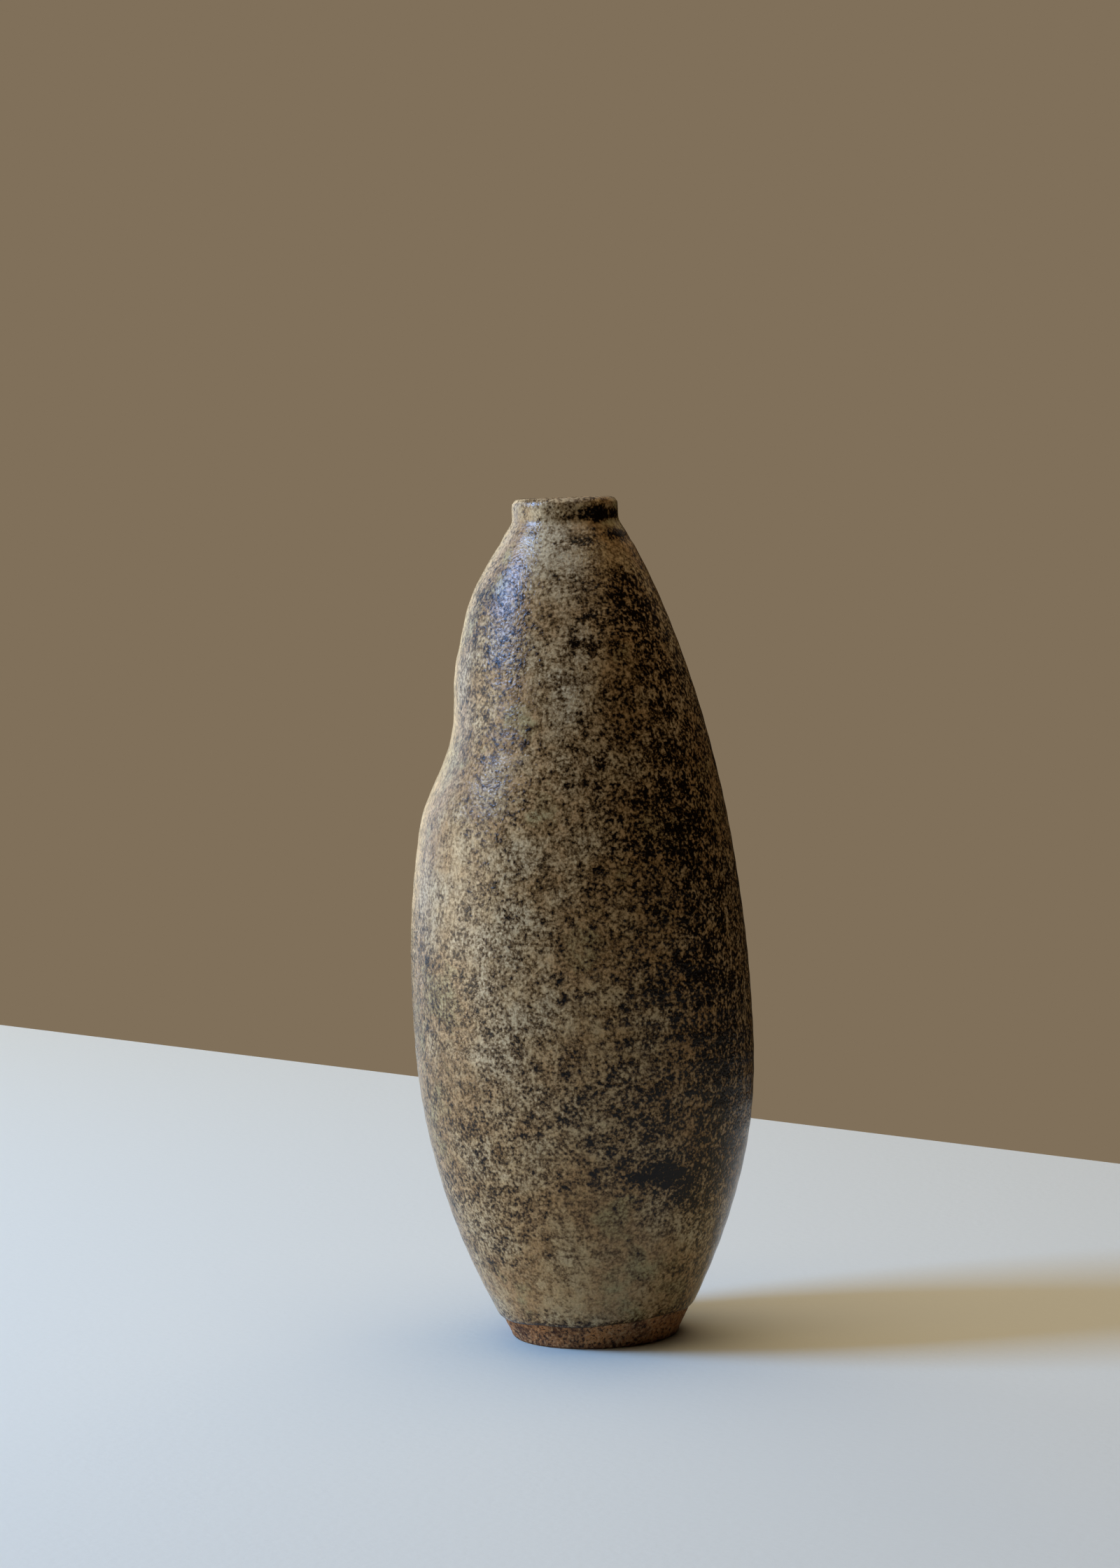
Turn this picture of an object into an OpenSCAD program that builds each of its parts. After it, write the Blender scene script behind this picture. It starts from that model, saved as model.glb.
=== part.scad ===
// Wheel-thrown stoneware bud vase, glazed inside and out, with a bare turned foot
// and a thumb dent in one shoulder. Millimetres, +Z up, the foot stands on z = 0.

/* [Overall] */
// Height from the table to the top of the glazed lip
height = 160; // [130:1:200]
// Radius of the bare clay at the widest part of the belly
belly_r = 31.9; // [26:0.1:40]
// Height of the widest part of the belly above the table
belly_z = 63; // [52:1:76]
// How far the pot wanders off its foot towards -X as it rises
lean = 1.3; // [0:0.1:3]

/* [Curves] */
// Lean of the wall away from upright where it leaves the foot, in degrees
foot_flare = 27; // [15:1:40]
// Fullness of the lower curve where it leaves the foot
foot_pull = 0.53; // [0.3:0.01:0.6]
// Fullness of the lower curve where it meets the belly
under_pull = 0.2; // [0.1:0.01:0.4]
// Fullness of the upper curve where it leaves the belly
over_pull = 0.49; // [0.3:0.01:0.6]
// Fullness of the upper curve where it meets the shoulder
shoulder_pull = 0.13; // [0.05:0.01:0.3]
// Lean of the shoulder away from upright just under the collar, in degrees
shoulder_slope = 33; // [20:1:45]

/* [Foot] */
// Outer radius of the foot
foot_r = 16.1; // [14:0.1:20]
// Width and height of the bevel round the foot's lower edge
foot_edge = 0.8; // [0.3:0.1:1.5]
// Width of the flat ring that the foot stands on
foot_ring = 2.8; // [1.5:0.1:4]
// Depth of the turned recess
recess_d = 1.3; // [0.5:0.1:2.5]
// How much narrower the recess is at its roof than at its mouth
recess_draft = 0.8; // [0.2:0.1:2]

/* [Collar and mouth] */
// How much further out than the collar the shoulder ends, on the bare clay
collar_step = 0.9; // [0.4:0.1:2.5]
// Height of the whole collar, from the shoulder's end to the top of the lip
collar_h = 6; // [5:0.1:9]
// Thickness of the bare clay of the collar
collar_wall = 2.7; // [2:0.1:4]
// Height of the collar's upright part below the top of the lip
upright_h = 3.5; // [2.5:0.1:4.5]
// Radius of the glazed bore of the mouth
mouth_r = 6.5; // [5:0.1:8]
// Length of the straight bore below the rounded lip
mouth_len = 5; // [4:0.1:8]
// Rounding of the clay lip on the outside
lip_out = 1; // [0.6:0.1:1]
// Rounding of the clay lip on the inside
lip_in = 0.8; // [0.5:0.1:0.9]

/* [Wall and floor] */
// Thickness of the thrown wall at the belly
wall = 3.4; // [2.5:0.1:5]
// Thickness of the wall just above the foot, where the potter leaves it heavier
foot_wall = 4.4; // [3.5:0.1:6]
// Thickness of the floor over the recess
floor_t = 5; // [3:0.1:8]
// Reach of the rounded corner between floor and wall
floor_bend = 6; // [3:0.1:8]

/* [Glaze] */
// Thickness of the outer glaze
glaze = 0.5; // [0.3:0.05:1]
// Height of the outer glaze's lower edge above the table
glaze_line = 4.6; // [3:0.1:12]
// Thickness of the outer glaze right at its lower edge
glaze_start = 0.25; // [0.15:0.05:0.3]
// Distance up the wall over which the outer glaze swells to its full thickness
glaze_rise = 1; // [0.5:0.1:2]
// Thickness of the liner glaze
liner = 0.4; // [0.3:0.05:1]

/* [Thumb dent] */
// Depth of the dent
dent_depth = 2.9; // [0:0.1:4]
// How far the middle of the dent lies below the straight bore of the mouth
dent_drop = 38.7; // [34:0.1:50]
// Distance from the middle of the dent to its upper or lower edge
dent_half = 17; // [12:1:22]
// Height of the swelling that the thumb pushed up above the dent
swell = 1.1; // [0:0.1:2]
// How far the middle of the swelling lies below the straight bore of the mouth
swell_drop = 12.2; // [12:0.1:18]
// Distance from the middle of the swelling to its upper or lower edge
swell_half = 12; // [8:0.5:12]
// Direction that the dent faces, in degrees from +X
dent_turn = 185; // [0:1:360]
// Angle round the pot from the middle of the dent to either side
dent_spread = 80; // [50:1:90]

/* [Hidden] */

SIDES = 48;        // points round each ring
UNDER_STEPS = 8;   // rings from foot to belly
OVER_STEPS = 16;   // rings from belly to shoulder
COLLAR_STEPS = 3;  // rings from shoulder to collar
LIP_STEPS = 3;     // rings round each side of the lip
BEND_STEPS = 3;    // rings round the corner of the floor
LEAN_START = 30;   // height at which the pot starts to wander
LEAN_END = 90;     // height at which it has wandered all the way
BORE_CUT = 0.1;    // what the true bore shaves off the faceted liner
SPARE = 1;         // how far a cutter runs past what it cuts

lip_z = height - glaze;                    // top of the clay
mouth_z = lip_z - lip_in;                  // top of the straight bore
neck_z = mouth_z - mouth_len;              // bottom of the straight bore
neck_r = mouth_r + liner;                  // bore of the bare clay
collar_r = neck_r + collar_wall;           // outside of the bare clay collar
recess_r = foot_r - foot_edge - foot_ring; // turned recess under the foot
floor_z = recess_d + floor_t;              // top of the clay floor
shoulder = [collar_r + collar_step, height - collar_h];
belly = [belly_r, belly_z];
line = [foot_r + (glaze_line - foot_edge) * tan(foot_flare), glaze_line];
flare_way = [sin(foot_flare), cos(foot_flare)];
full_glaze = line + glaze_rise * flare_way;
slope_way = [-sin(shoulder_slope), cos(shoulder_slope)];
up = [0, 1];

// ---- curves -------------------------------------------------------------

function mix(a, b, t) = a + (b - a) * t;

function bezier(a, b, c, d, t) =
    let (s = 1 - t)
    s * s * s * a + 3 * s * s * t * b + 3 * s * t * t * c + t * t * t * d;

// Points along a curve after its first, which leaves a along way_a and
// arrives at d along way_d, with pulls as shares of the height between them
function sweep(a, way_a, pull_a, d, way_d, pull_d, steps) =
    let (rise = abs(d[1] - a[1]))
    [for (i = [1:steps])
        bezier(a, a + pull_a * rise * way_a, d - pull_d * rise * way_d, d, i / steps)];

function reversed(list) = [for (i = [len(list) - 1:-1:0]) list[i]];

function all_but_last(list) = [for (i = [0:len(list) - 2]) list[i]];

// Unit normal of an outline at point i, to the right of the way it runs
function normal(path, i) =
    let (
        ahead = path[min(i + 1, len(path) - 1)],
        behind = path[max(i - 1, 0)],
        way = (ahead - behind) / norm(ahead - behind)
    )
    [way[1], -way[0]];

// ---- how the thrown form strays from round ---------------------------------

// A smooth hill of height 1 at x = 0 that ends at x = -1 and x = 1
function hill(x) = abs(x) < 1 ? (1 + cos(180 * x)) / 2 : 0;

function ease(x) =
    let (t = min(max(x, 0), 1))
    t * t * (3 - 2 * t);

function axis_x(z) = -lean * ease((z - LEAN_START) / (LEAN_END - LEAN_START));

// Angle between direction a and the dent, from 0 to 180
function off_dent(a) =
    let (d = abs(a - dent_turn) % 360)
    min(d, 360 - d);

function push_in(z, a) =
    hill(off_dent(a) / dent_spread) * (
        dent_depth * hill((z - neck_z + dent_drop) / dent_half)
        - swell * hill((z - neck_z + swell_drop) / swell_half)
    );

// A point of the fired pot, from its place on the outline and its direction
function fired(p, a) =
    let (r = p[0] - push_in(p[1], a))
    [axis_x(p[1]) + r * cos(a), r * sin(a), p[1]];

// ---- outlines, as [radius, height] -----------------------------------------

// The rounded lip under a coat of the given thickness outside and inside
function lip(coat_out, coat_in) = concat(
    [for (i = [0:LIP_STEPS])
        let (a = 90 * i / LIP_STEPS)
        [collar_r - lip_out, lip_z - lip_out] + (lip_out + coat_out) * [cos(a), sin(a)]],
    [for (i = [0:LIP_STEPS])
        let (
            a = 90 + 90 * i / LIP_STEPS,
            coat = mix(coat_out, coat_in, i / LIP_STEPS)
        )
        [neck_r + lip_in, lip_z - lip_in] + (lip_in + coat) * [cos(a), sin(a)]]
);

// Clay from the glaze line up to the top of the collar
side_line = let (collar = [collar_r, height - upright_h]) concat(
    [line, full_glaze],
    sweep(full_glaze, flare_way, foot_pull, belly, up, under_pull, UNDER_STEPS),
    sweep(belly, up, over_pull, shoulder, slope_way, shoulder_pull, OVER_STEPS),
    sweep(shoulder, slope_way, 0.5, collar, up, 0.5, COLLAR_STEPS)
);

// Clay from the glaze line over the lip to the top of the bore
outside_line = concat(side_line, lip(0, 0));

// The underside of the foot, from its centre out and up to the glaze line
foot_line = [
    [0, recess_d],
    [recess_r - recess_draft, recess_d],
    [recess_r, 0],
    [foot_r - foot_edge, 0],
    [foot_r, foot_edge]
];

// Where the inside of the wall, carried down straight, would meet the floor
inner_line = line + foot_wall * [-cos(foot_flare), sin(foot_flare)];
corner = [inner_line[0] + (floor_z - inner_line[1]) * tan(foot_flare), floor_z];
wall_start = corner + floor_bend * flare_way;
floor_end = corner - [floor_bend, 0];
inner_belly = [belly_r - wall, belly_z];
neck = [neck_r, neck_z];

// Clay of the hollow, from the middle of the floor up to the top of the bore
hollow_line = concat(
    [[0, floor_z], floor_end],
    [for (i = [1:BEND_STEPS]) bezier(floor_end, corner, corner, wall_start, i / BEND_STEPS)],
    sweep(wall_start, flare_way, foot_pull, inner_belly, up, under_pull, UNDER_STEPS - 1),
    sweep(inner_belly, up, over_pull, neck, slope_way, shoulder_pull, OVER_STEPS),
    [[neck_r, mouth_z]]
);

// The outer glaze's own surface, from its lower edge over the lip into the mouth
glaze_line_out = concat(
    [for (i = [0:len(side_line) - 1])
        side_line[i] + (i == 0 ? glaze_start : glaze) * normal(outside_line, i)],
    lip(glaze, liner)
);

// The liner's own surface, from the middle of the floor up, short of the bore
liner_line_in = let (last = len(hollow_line) - 1) concat(
    [[0, floor_z + liner]],
    [for (i = [1:last - 2]) hollow_line[i] - liner * normal(hollow_line, i)],
    [[mouth_r - BORE_CUT, neck_z], [mouth_r - BORE_CUT, mouth_z]]
);

// ---- rings of points to solids ----------------------------------------------

function ring(p) = [for (j = [0:SIDES - 1]) fired(p, 360 * j / SIDES)];

// True where an outline climbs, or runs inwards on the level
function climbs(p, q) = q[1] > p[1] || (q[1] == p[1] && q[0] < p[0]);

// Two triangles between neighbouring rings, split the same way from both sides
function patch(a, b, c, d, climbing) =
    climbing ? [[a, b, c], [a, c, d]] : [[a, b, d], [b, c, d]];

// A solid from an outline whose first and last points lie on the axis
module turned(path) {
    rings = len(path) - 2;
    last = 1 + rings * SIDES;
    points = concat(
        [fired(path[0], 0)],
        [for (i = [1:rings]) each ring(path[i])],
        [fired(path[rings + 1], 0)]
    );
    faces = concat(
        [for (j = [0:SIDES - 1]) [0, 1 + j, 1 + (j + 1) % SIDES]],
        [for (i = [1:rings - 1]) for (j = [0:SIDES - 1])
            let (
                here = 1 + (i - 1) * SIDES,
                next = here + SIDES,
                k = (j + 1) % SIDES
            )
            each patch(here + j, next + j, next + k, here + k, climbs(path[i], path[i + 1]))],
        [for (j = [0:SIDES - 1]) [last - SIDES + j, last, last - SIDES + (j + 1) % SIDES]]
    );
    polyhedron(points, faces);
}

// A solid from a closed outline that goes round the axis without touching it
module coat(path) {
    rings = len(path);
    points = [for (p = path) each ring(p)];
    faces = [for (i = [0:rings - 1]) for (j = [0:SIDES - 1])
        let (
            i_next = (i + 1) % rings,
            here = i * SIDES,
            next = i_next * SIDES,
            k = (j + 1) % SIDES
        )
        each patch(here + j, next + j, next + k, here + k, climbs(path[i], path[i_next]))];
    polyhedron(points, faces);
}

// ---- the pieces -------------------------------------------------------------

// The thrown and fired pot: foot, floor, wall, neck and lip
module clay_body() {
    color("#8a6446")
        turned(concat(foot_line, outside_line, reversed(all_but_last(hollow_line))));
}

// The speckled glaze from just above the foot, over the lip, to the top of the bore
module outer_glaze() {
    color("#9a8d72")
        coat(concat(glaze_line_out, reversed(outside_line)));
}

// The plain glaze over the whole inside, with the true bore of the mouth
module liner_glaze() {
    color("#b9ad93")
        difference() {
            turned(concat(hollow_line, reversed(liner_line_in)));
            translate([axis_x(mouth_z), 0, neck_z - SPARE])
                cylinder(r = mouth_r, h = mouth_len + 2 * SPARE, $fn = 96);
        }
}

clay_body();
outer_glaze();
liner_glaze();
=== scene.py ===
"""A wheel-thrown stoneware bud vase on a pale floor, built around its design's solids.

The pot is shown as the potter made it: a thrown clay body, a speckled glaze over the
outside and a plain liner glaze inside. Each is one piece, for one node of the design.
"""

import logging
import math
from dataclasses import dataclass, field
from enum import Enum

import bpy
import numpy as np
from mathutils import Matrix, Vector, noise


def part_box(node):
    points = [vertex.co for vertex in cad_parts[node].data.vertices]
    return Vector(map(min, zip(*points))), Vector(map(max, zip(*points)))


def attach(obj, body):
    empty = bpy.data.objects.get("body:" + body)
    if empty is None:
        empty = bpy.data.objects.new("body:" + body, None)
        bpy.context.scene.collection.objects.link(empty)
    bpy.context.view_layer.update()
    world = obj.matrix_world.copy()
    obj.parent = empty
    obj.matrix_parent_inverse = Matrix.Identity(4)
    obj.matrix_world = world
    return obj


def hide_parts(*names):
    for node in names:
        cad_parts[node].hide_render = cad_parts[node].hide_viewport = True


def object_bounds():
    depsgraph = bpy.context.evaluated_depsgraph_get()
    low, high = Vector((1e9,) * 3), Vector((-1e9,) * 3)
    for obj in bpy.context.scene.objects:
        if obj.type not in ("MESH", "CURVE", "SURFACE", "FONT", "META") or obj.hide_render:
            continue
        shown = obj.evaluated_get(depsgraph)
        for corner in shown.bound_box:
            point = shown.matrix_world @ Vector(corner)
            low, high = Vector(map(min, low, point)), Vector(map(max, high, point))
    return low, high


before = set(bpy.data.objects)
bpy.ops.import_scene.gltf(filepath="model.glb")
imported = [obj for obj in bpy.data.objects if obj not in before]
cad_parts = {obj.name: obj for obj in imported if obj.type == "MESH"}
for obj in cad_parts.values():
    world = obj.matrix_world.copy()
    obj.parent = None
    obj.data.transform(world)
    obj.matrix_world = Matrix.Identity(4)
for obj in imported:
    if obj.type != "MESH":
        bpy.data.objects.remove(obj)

CAD_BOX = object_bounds()
MM = 0.001
TO_MM = 1000.0
FULL_TURN = 2 * math.pi
BODY = "root"
ROUND_MAP = "OFBake"
SWEEP_STEPS = 160
BEND_STEPS = 40
LIP_POINTS = 25
LOG = logging.getLogger("bud_vase")

Colour = tuple[float, float, float, float]
Points = np.ndarray


# ---- small shared tools ------------------------------------------------------


def linear(hex_code: str) -> Colour:
    """Turns an sRGB hex colour into the linear colour that shaders take.

    Args:
        hex_code: Six hex digits, with or without a leading hash.

    Returns:
        Linear red, green and blue, and an alpha of 1.
    """
    digits = hex_code.lstrip("#")
    channels = [int(digits[i:i + 2], 16) / 255 for i in (0, 2, 4)]
    red, green, blue = (
        c / 12.92 if c <= 0.04045 else ((c + 0.055) / 1.055) ** 2.4 for c in channels
    )
    return (red, green, blue, 1.0)


def add_node(
    tree: bpy.types.NodeTree,
    kind: str,
    settings: dict[str, object] | None = None,
    inputs: dict[str | int, object] | None = None,
) -> bpy.types.Node:
    """Adds a node, sets it up and links what feeds it.

    Args:
        tree: The node tree to add to.
        kind: The node's type, by its full name.
        settings: Attributes to set on the node.
        inputs: Socket name or number to a value, or to the output socket that feeds it.

    Returns:
        The new node.
    """
    node = tree.nodes.new(kind)
    for name, value in (settings or {}).items():
        setattr(node, name, value)
    for name, value in (inputs or {}).items():
        if isinstance(value, bpy.types.NodeSocket):
            tree.links.new(value, node.inputs[name])
        else:
            node.inputs[name].default_value = value
    return node


def set_ramp(node: bpy.types.Node, stops: list[tuple[float, Colour]]) -> None:
    """Gives a colour ramp its stops.

    Args:
        node: A colour ramp node.
        stops: Positions from 0 to 1 with their colours, in order.
    """
    elements = node.color_ramp.elements
    while len(elements) > 1:
        elements.remove(elements[0])
    elements[0].position, elements[0].color = stops[0]
    for position, colour in stops[1:]:
        elements.new(position).color = colour


def hill(x: Points) -> Points:
    """A smooth hill of height 1 at 0 that ends at -1 and 1."""
    return np.where(np.abs(x) < 1, (1 + np.cos(np.pi * x)) / 2, 0.0)


def ease(x: Points) -> Points:
    """A smooth step from 0 at 0 to 1 at 1."""
    t = np.clip(x, 0, 1)
    return t * t * (3 - 2 * t)


def bezier(a: Points, b: Points, c: Points, d: Points, steps: int) -> Points:
    """Points along a cubic curve.

    Args:
        a: Start.
        b: First handle.
        c: Second handle.
        d: End.
        steps: How many stretches to cut it into.

    Returns:
        One row of radius and height for each point.
    """
    t = np.linspace(0, 1, steps + 1)[:, None]
    s = 1 - t
    return s**3 * a + 3 * s * s * t * b + 3 * s * t * t * c + t**3 * d


def ripple(points: Points, scale: float, seed: float) -> Points:
    """Smooth noise at each point of a grid.

    Args:
        points: Rings by sides by three, in metres.
        scale: Size of the noise's lumps, in metres.
        seed: Shifts the noise, so that two uses differ.

    Returns:
        Rings by sides, from about -1 to 1.
    """
    flat = points.reshape(-1, 3) / scale + seed
    values = np.array([noise.noise(Vector(p)) for p in flat.tolist()])
    return values.reshape(points.shape[:-1])


# ---- the thrown form ---------------------------------------------------------


@dataclass
class ThrownForm:
    """The shape of the pot, with the sizes of the CAD design in metres.

    The foot's cone runs on past the glaze line before the curve starts. The dent pushes
    in only what isn't right at the axis, so that the floor's middle stays one point.
    """

    height: float = field(default_factory=lambda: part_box("outer_glaze")[1].z)
    glaze: float = 0.5 * MM
    liner: float = 0.4 * MM
    belly_z: float = 63 * MM
    lean: float = 1.3 * MM
    lean_start: float = 30 * MM
    lean_end: float = 90 * MM
    foot_flare: float = math.radians(27)
    past_line: float = 1 * MM
    foot_pull: float = 0.53
    under_pull: float = 0.2
    over_pull: float = 0.49
    shoulder_pull: float = 0.13
    shoulder_slope: float = math.radians(33)
    foot_r: float = 16.1 * MM
    foot_edge: float = 0.8 * MM
    foot_ring: float = 2.8 * MM
    recess_d: float = 1.3 * MM
    recess_draft: float = 0.8 * MM
    collar_wall: float = 2.7 * MM
    collar_step: float = 0.9 * MM
    collar_h: float = 6 * MM
    upright_h: float = 3.5 * MM
    mouth_r: float = 6.5 * MM
    mouth_len: float = 5 * MM
    lip_out: float = 1 * MM
    lip_in: float = 0.8 * MM
    wall: float = 3.4 * MM
    foot_wall: float = 4.4 * MM
    floor_t: float = 5 * MM
    floor_bend: float = 6 * MM
    glaze_line: float = 4.6 * MM
    dent_depth: float = 2.9 * MM
    dent_drop: float = 38.7 * MM
    dent_half: float = 17 * MM
    swell: float = 1.1 * MM
    swell_drop: float = 12.2 * MM
    swell_half: float = 12 * MM
    dent_turn: float = math.radians(185)
    dent_spread: float = math.radians(80)
    axis_free: float = 1 * MM

    def __post_init__(self) -> None:
        """Works out the sizes that follow from the others."""
        low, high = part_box("outer_glaze")
        self.belly_r = (high.y - low.y) / 2 - self.glaze
        self.lip_z = self.height - self.glaze
        self.mouth_z = self.lip_z - self.lip_in
        self.neck_z = self.mouth_z - self.mouth_len
        self.neck_r = self.mouth_r + self.liner
        self.collar_r = self.neck_r + self.collar_wall
        self.recess_r = self.foot_r - self.foot_edge - self.foot_ring
        self.floor_z = self.recess_d + self.floor_t
        self.flare_way = np.array([math.sin(self.foot_flare), math.cos(self.foot_flare)])
        self.slope_way = np.array([-math.sin(self.shoulder_slope), math.cos(self.shoulder_slope)])

    def sweep(
        self, a: Points, way_a: Points, pull_a: float, d: Points, way_d: Points, pull_d: float
    ) -> Points:
        """A curve that leaves a along way_a and arrives at d along way_d."""
        rise = abs(d[1] - a[1])
        return bezier(a, a + pull_a * rise * way_a, d - pull_d * rise * way_d, d, SWEEP_STEPS)

    def outside(self) -> Points:
        """The clay's outline from the foot's bevel over the lip to the top of the bore.

        Returns:
            One row of radius and height for each point.
        """
        up = np.array([0.0, 1.0])
        foot = np.array([self.foot_r, self.foot_edge])
        climb = self.glaze_line - self.foot_edge + self.past_line * self.flare_way[1]
        start = foot + climb * np.array([math.tan(self.foot_flare), 1])
        belly = np.array([self.belly_r, self.belly_z])
        shoulder = np.array([self.collar_r + self.collar_step, self.height - self.collar_h])
        collar = np.array([self.collar_r, self.height - self.upright_h])
        outer_bend = np.array([self.collar_r - self.lip_out, self.lip_z - self.lip_out])
        inner_bend = np.array([self.neck_r + self.lip_in, self.lip_z - self.lip_in])
        turn = np.linspace(0, math.pi / 2, LIP_POINTS)[:, None]
        arc = np.hstack([np.cos(turn), np.sin(turn)])
        back_arc = np.hstack([-np.sin(turn), np.cos(turn)])
        return np.vstack([
            foot,
            self.sweep(start, self.flare_way, self.foot_pull, belly, up, self.under_pull),
            self.sweep(belly, up, self.over_pull, shoulder, self.slope_way, self.shoulder_pull)[1:],
            self.sweep(shoulder, self.slope_way, 0.5, collar, up, 0.5)[1:],
            outer_bend + self.lip_out * arc,
            inner_bend + self.lip_in * back_arc,
        ])

    def hollow(self) -> Points:
        """The clay's outline inside, from the floor's middle to the top of the bore.

        Returns:
            One row of radius and height for each point.
        """
        up = np.array([0.0, 1.0])
        inward = np.array([-math.cos(self.foot_flare), math.sin(self.foot_flare)])
        line_r = self.foot_r + (self.glaze_line - self.foot_edge) * math.tan(self.foot_flare)
        inner = np.array([line_r, self.glaze_line]) + self.foot_wall * inward
        reach = (self.floor_z - inner[1]) * math.tan(self.foot_flare)
        corner = np.array([inner[0] + reach, self.floor_z])
        wall_start = corner + self.floor_bend * self.flare_way
        floor_end = corner - np.array([self.floor_bend, 0])
        belly = np.array([self.belly_r - self.wall, self.belly_z])
        neck = np.array([self.neck_r, self.neck_z])
        return np.vstack([
            [0.0, self.floor_z],
            bezier(floor_end, corner, corner, wall_start, BEND_STEPS),
            self.sweep(wall_start, self.flare_way, self.foot_pull, belly, up, self.under_pull)[1:],
            self.sweep(belly, up, self.over_pull, neck, self.slope_way, self.shoulder_pull)[1:],
            [self.neck_r, self.mouth_z],
        ])

    def fired(self, r: Points, z: Points, angle: Points) -> Points:
        """Places points of the outline on the leaning and dented pot.

        Args:
            r: Distance from the pot's own axis.
            z: Height above the floor.
            angle: Direction from +X, in radians.

        Returns:
            The same grid with x, y and z along its last axis.
        """
        off = np.abs((angle - self.dent_turn + math.pi) % FULL_TURN - math.pi)
        push = hill(off / self.dent_spread) * (
            self.dent_depth * hill((z - self.neck_z + self.dent_drop) / self.dent_half)
            - self.swell * hill((z - self.neck_z + self.swell_drop) / self.swell_half)
        )
        along = (z - self.lean_start) / (self.lean_end - self.lean_start)
        radius = np.maximum(r - push * (r > self.axis_free), 0)
        x = -self.lean * ease(along) + radius * np.cos(angle)
        return np.stack([x, radius * np.sin(angle), z + 0 * angle], axis=-1)


@dataclass
class Outline:
    """An outline that can be read by its length, with its normals."""

    points: Points

    def __post_init__(self) -> None:
        """Measures the outline and finds its normals."""
        steps = np.linalg.norm(np.diff(self.points, axis=0), axis=1)
        self.lengths = np.concatenate([[0], np.cumsum(steps)])
        ways = np.gradient(self.points, self.lengths, axis=0)
        ways /= np.linalg.norm(ways, axis=1)[:, None]
        self.normals = np.stack([ways[:, 1], -ways[:, 0]], axis=1)

    @property
    def length(self) -> float:
        """The whole outline's length."""
        return float(self.lengths[-1])

    def at(self, where: Points, out: Points | float = 0.0) -> tuple[Points, Points]:
        """Radius and height at given lengths.

        Args:
            where: Lengths along the outline, any shape.
            out: How far off the outline to stand, along its normal.

        Returns:
            Radius and height, each in the shape of where.
        """
        r, z = (np.interp(where, self.lengths, self.points[:, i]) for i in (0, 1))
        nr, nz = (np.interp(where, self.lengths, self.normals[:, i]) for i in (0, 1))
        return r + out * nr, z + out * nz

    def length_at_height(self, z: Points) -> Points:
        """Lengths at which a stretch that only climbs passes the given heights."""
        top = int(np.argmax(self.points[:, 1]))
        return np.interp(z, self.points[:top, 1], self.lengths[:top])


class Ends(Enum):
    """How a lathe skin closes."""

    LOOP = "its last ring joins its first"
    POLES = "its first and last rings are single points on the axis"


@dataclass
class LatheSkin:
    """A closed skin of rings round the pot's axis, ready to become a mesh.

    Its first rings are the ones that show, and they take most of the map's height.
    """

    name: str
    grid: Points
    ends: Ends
    seen: int
    seen_share: float = 0.94
    map_margin: float = 0.01

    def build(self) -> bpy.types.Object:
        """Makes the mesh, with a map that runs round the pot and along its outline.

        Returns:
            The new object, linked to the scene.
        """
        rings, sides = self.grid.shape[:2]
        v = np.concatenate([
            np.linspace(self.map_margin, self.seen_share, self.seen),
            np.linspace(self.seen_share, 1 - self.map_margin, rings - self.seen + 2)[1:],
        ])
        rows = [self.grid[i].tolist() for i in range(rings)]
        verts = [p for row in rows for p in row]
        faces: list[tuple[int, ...]] = []
        maps: list[tuple[tuple[float, float], ...]] = []
        pairs = [(i, i + 1) for i in range(rings - 1)]
        if self.ends is Ends.LOOP:
            pairs.append((rings - 1, 0))
        else:
            pairs = pairs[1:-1]
        for i, k in pairs:
            low, high = v[i], v[i + 1]
            for j in range(sides):
                n = (j + 1) % sides
                faces.append((i * sides + j, i * sides + n, k * sides + n, k * sides + j))
                left, right = j / sides, (j + 1) / sides
                maps.append(((left, low), (right, low), (right, high), (left, high)))
        if self.ends is Ends.POLES:
            verts, faces, maps = self._with_poles(verts, faces, maps, v)
        mesh = bpy.data.meshes.new(self.name)
        mesh.from_pydata(verts, [], faces)
        layer = mesh.uv_layers.new(name=ROUND_MAP)
        flat = np.array([c for corners in maps for uv in corners for c in uv], np.float32)
        layer.data.foreach_set("uv", flat)
        mesh.polygons.foreach_set("use_smooth", [True] * len(mesh.polygons))
        mesh.update()
        piece = bpy.data.objects.new(self.name, mesh)
        bpy.context.scene.collection.objects.link(piece)
        return piece

    def _with_poles(
        self,
        verts: list[list[float]],
        faces: list[tuple[int, ...]],
        maps: list[tuple[tuple[float, float], ...]],
        v: Points,
    ) -> tuple[list, list, list]:
        """Swaps the first and last rings for single points and fans.

        Args:
            verts: The corners, ring by ring.
            faces: The faces between all rings but the first and last.
            maps: Each face's corners on the map.
            v: Each ring's height on the map.

        Returns:
            The corners, faces and maps of the closed skin.
        """
        rings, sides = self.grid.shape[:2]
        verts = [verts[0]] + verts[sides:-sides] + [verts[-1]]
        last = len(verts) - 1
        faces = [tuple(1 + c - sides for c in f) for f in faces]
        for j in range(sides):
            n = (j + 1) % sides
            left, right = j / sides, (j + 1) / sides
            faces.append((0, 1 + n, 1 + j))
            maps.append((((left + right) / 2, v[0]), (right, v[1]), (left, v[1])))
            faces.append((last, last - sides + j, last - sides + n))
            maps.append((((left + right) / 2, v[-1]), (left, v[-2]), (right, v[-2])))
        return verts, faces, maps


# ---- finishes ----------------------------------------------------------------

Tree = bpy.types.NodeTree
Socket = bpy.types.NodeSocket
Inputs = dict[str | int, object]

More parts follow.
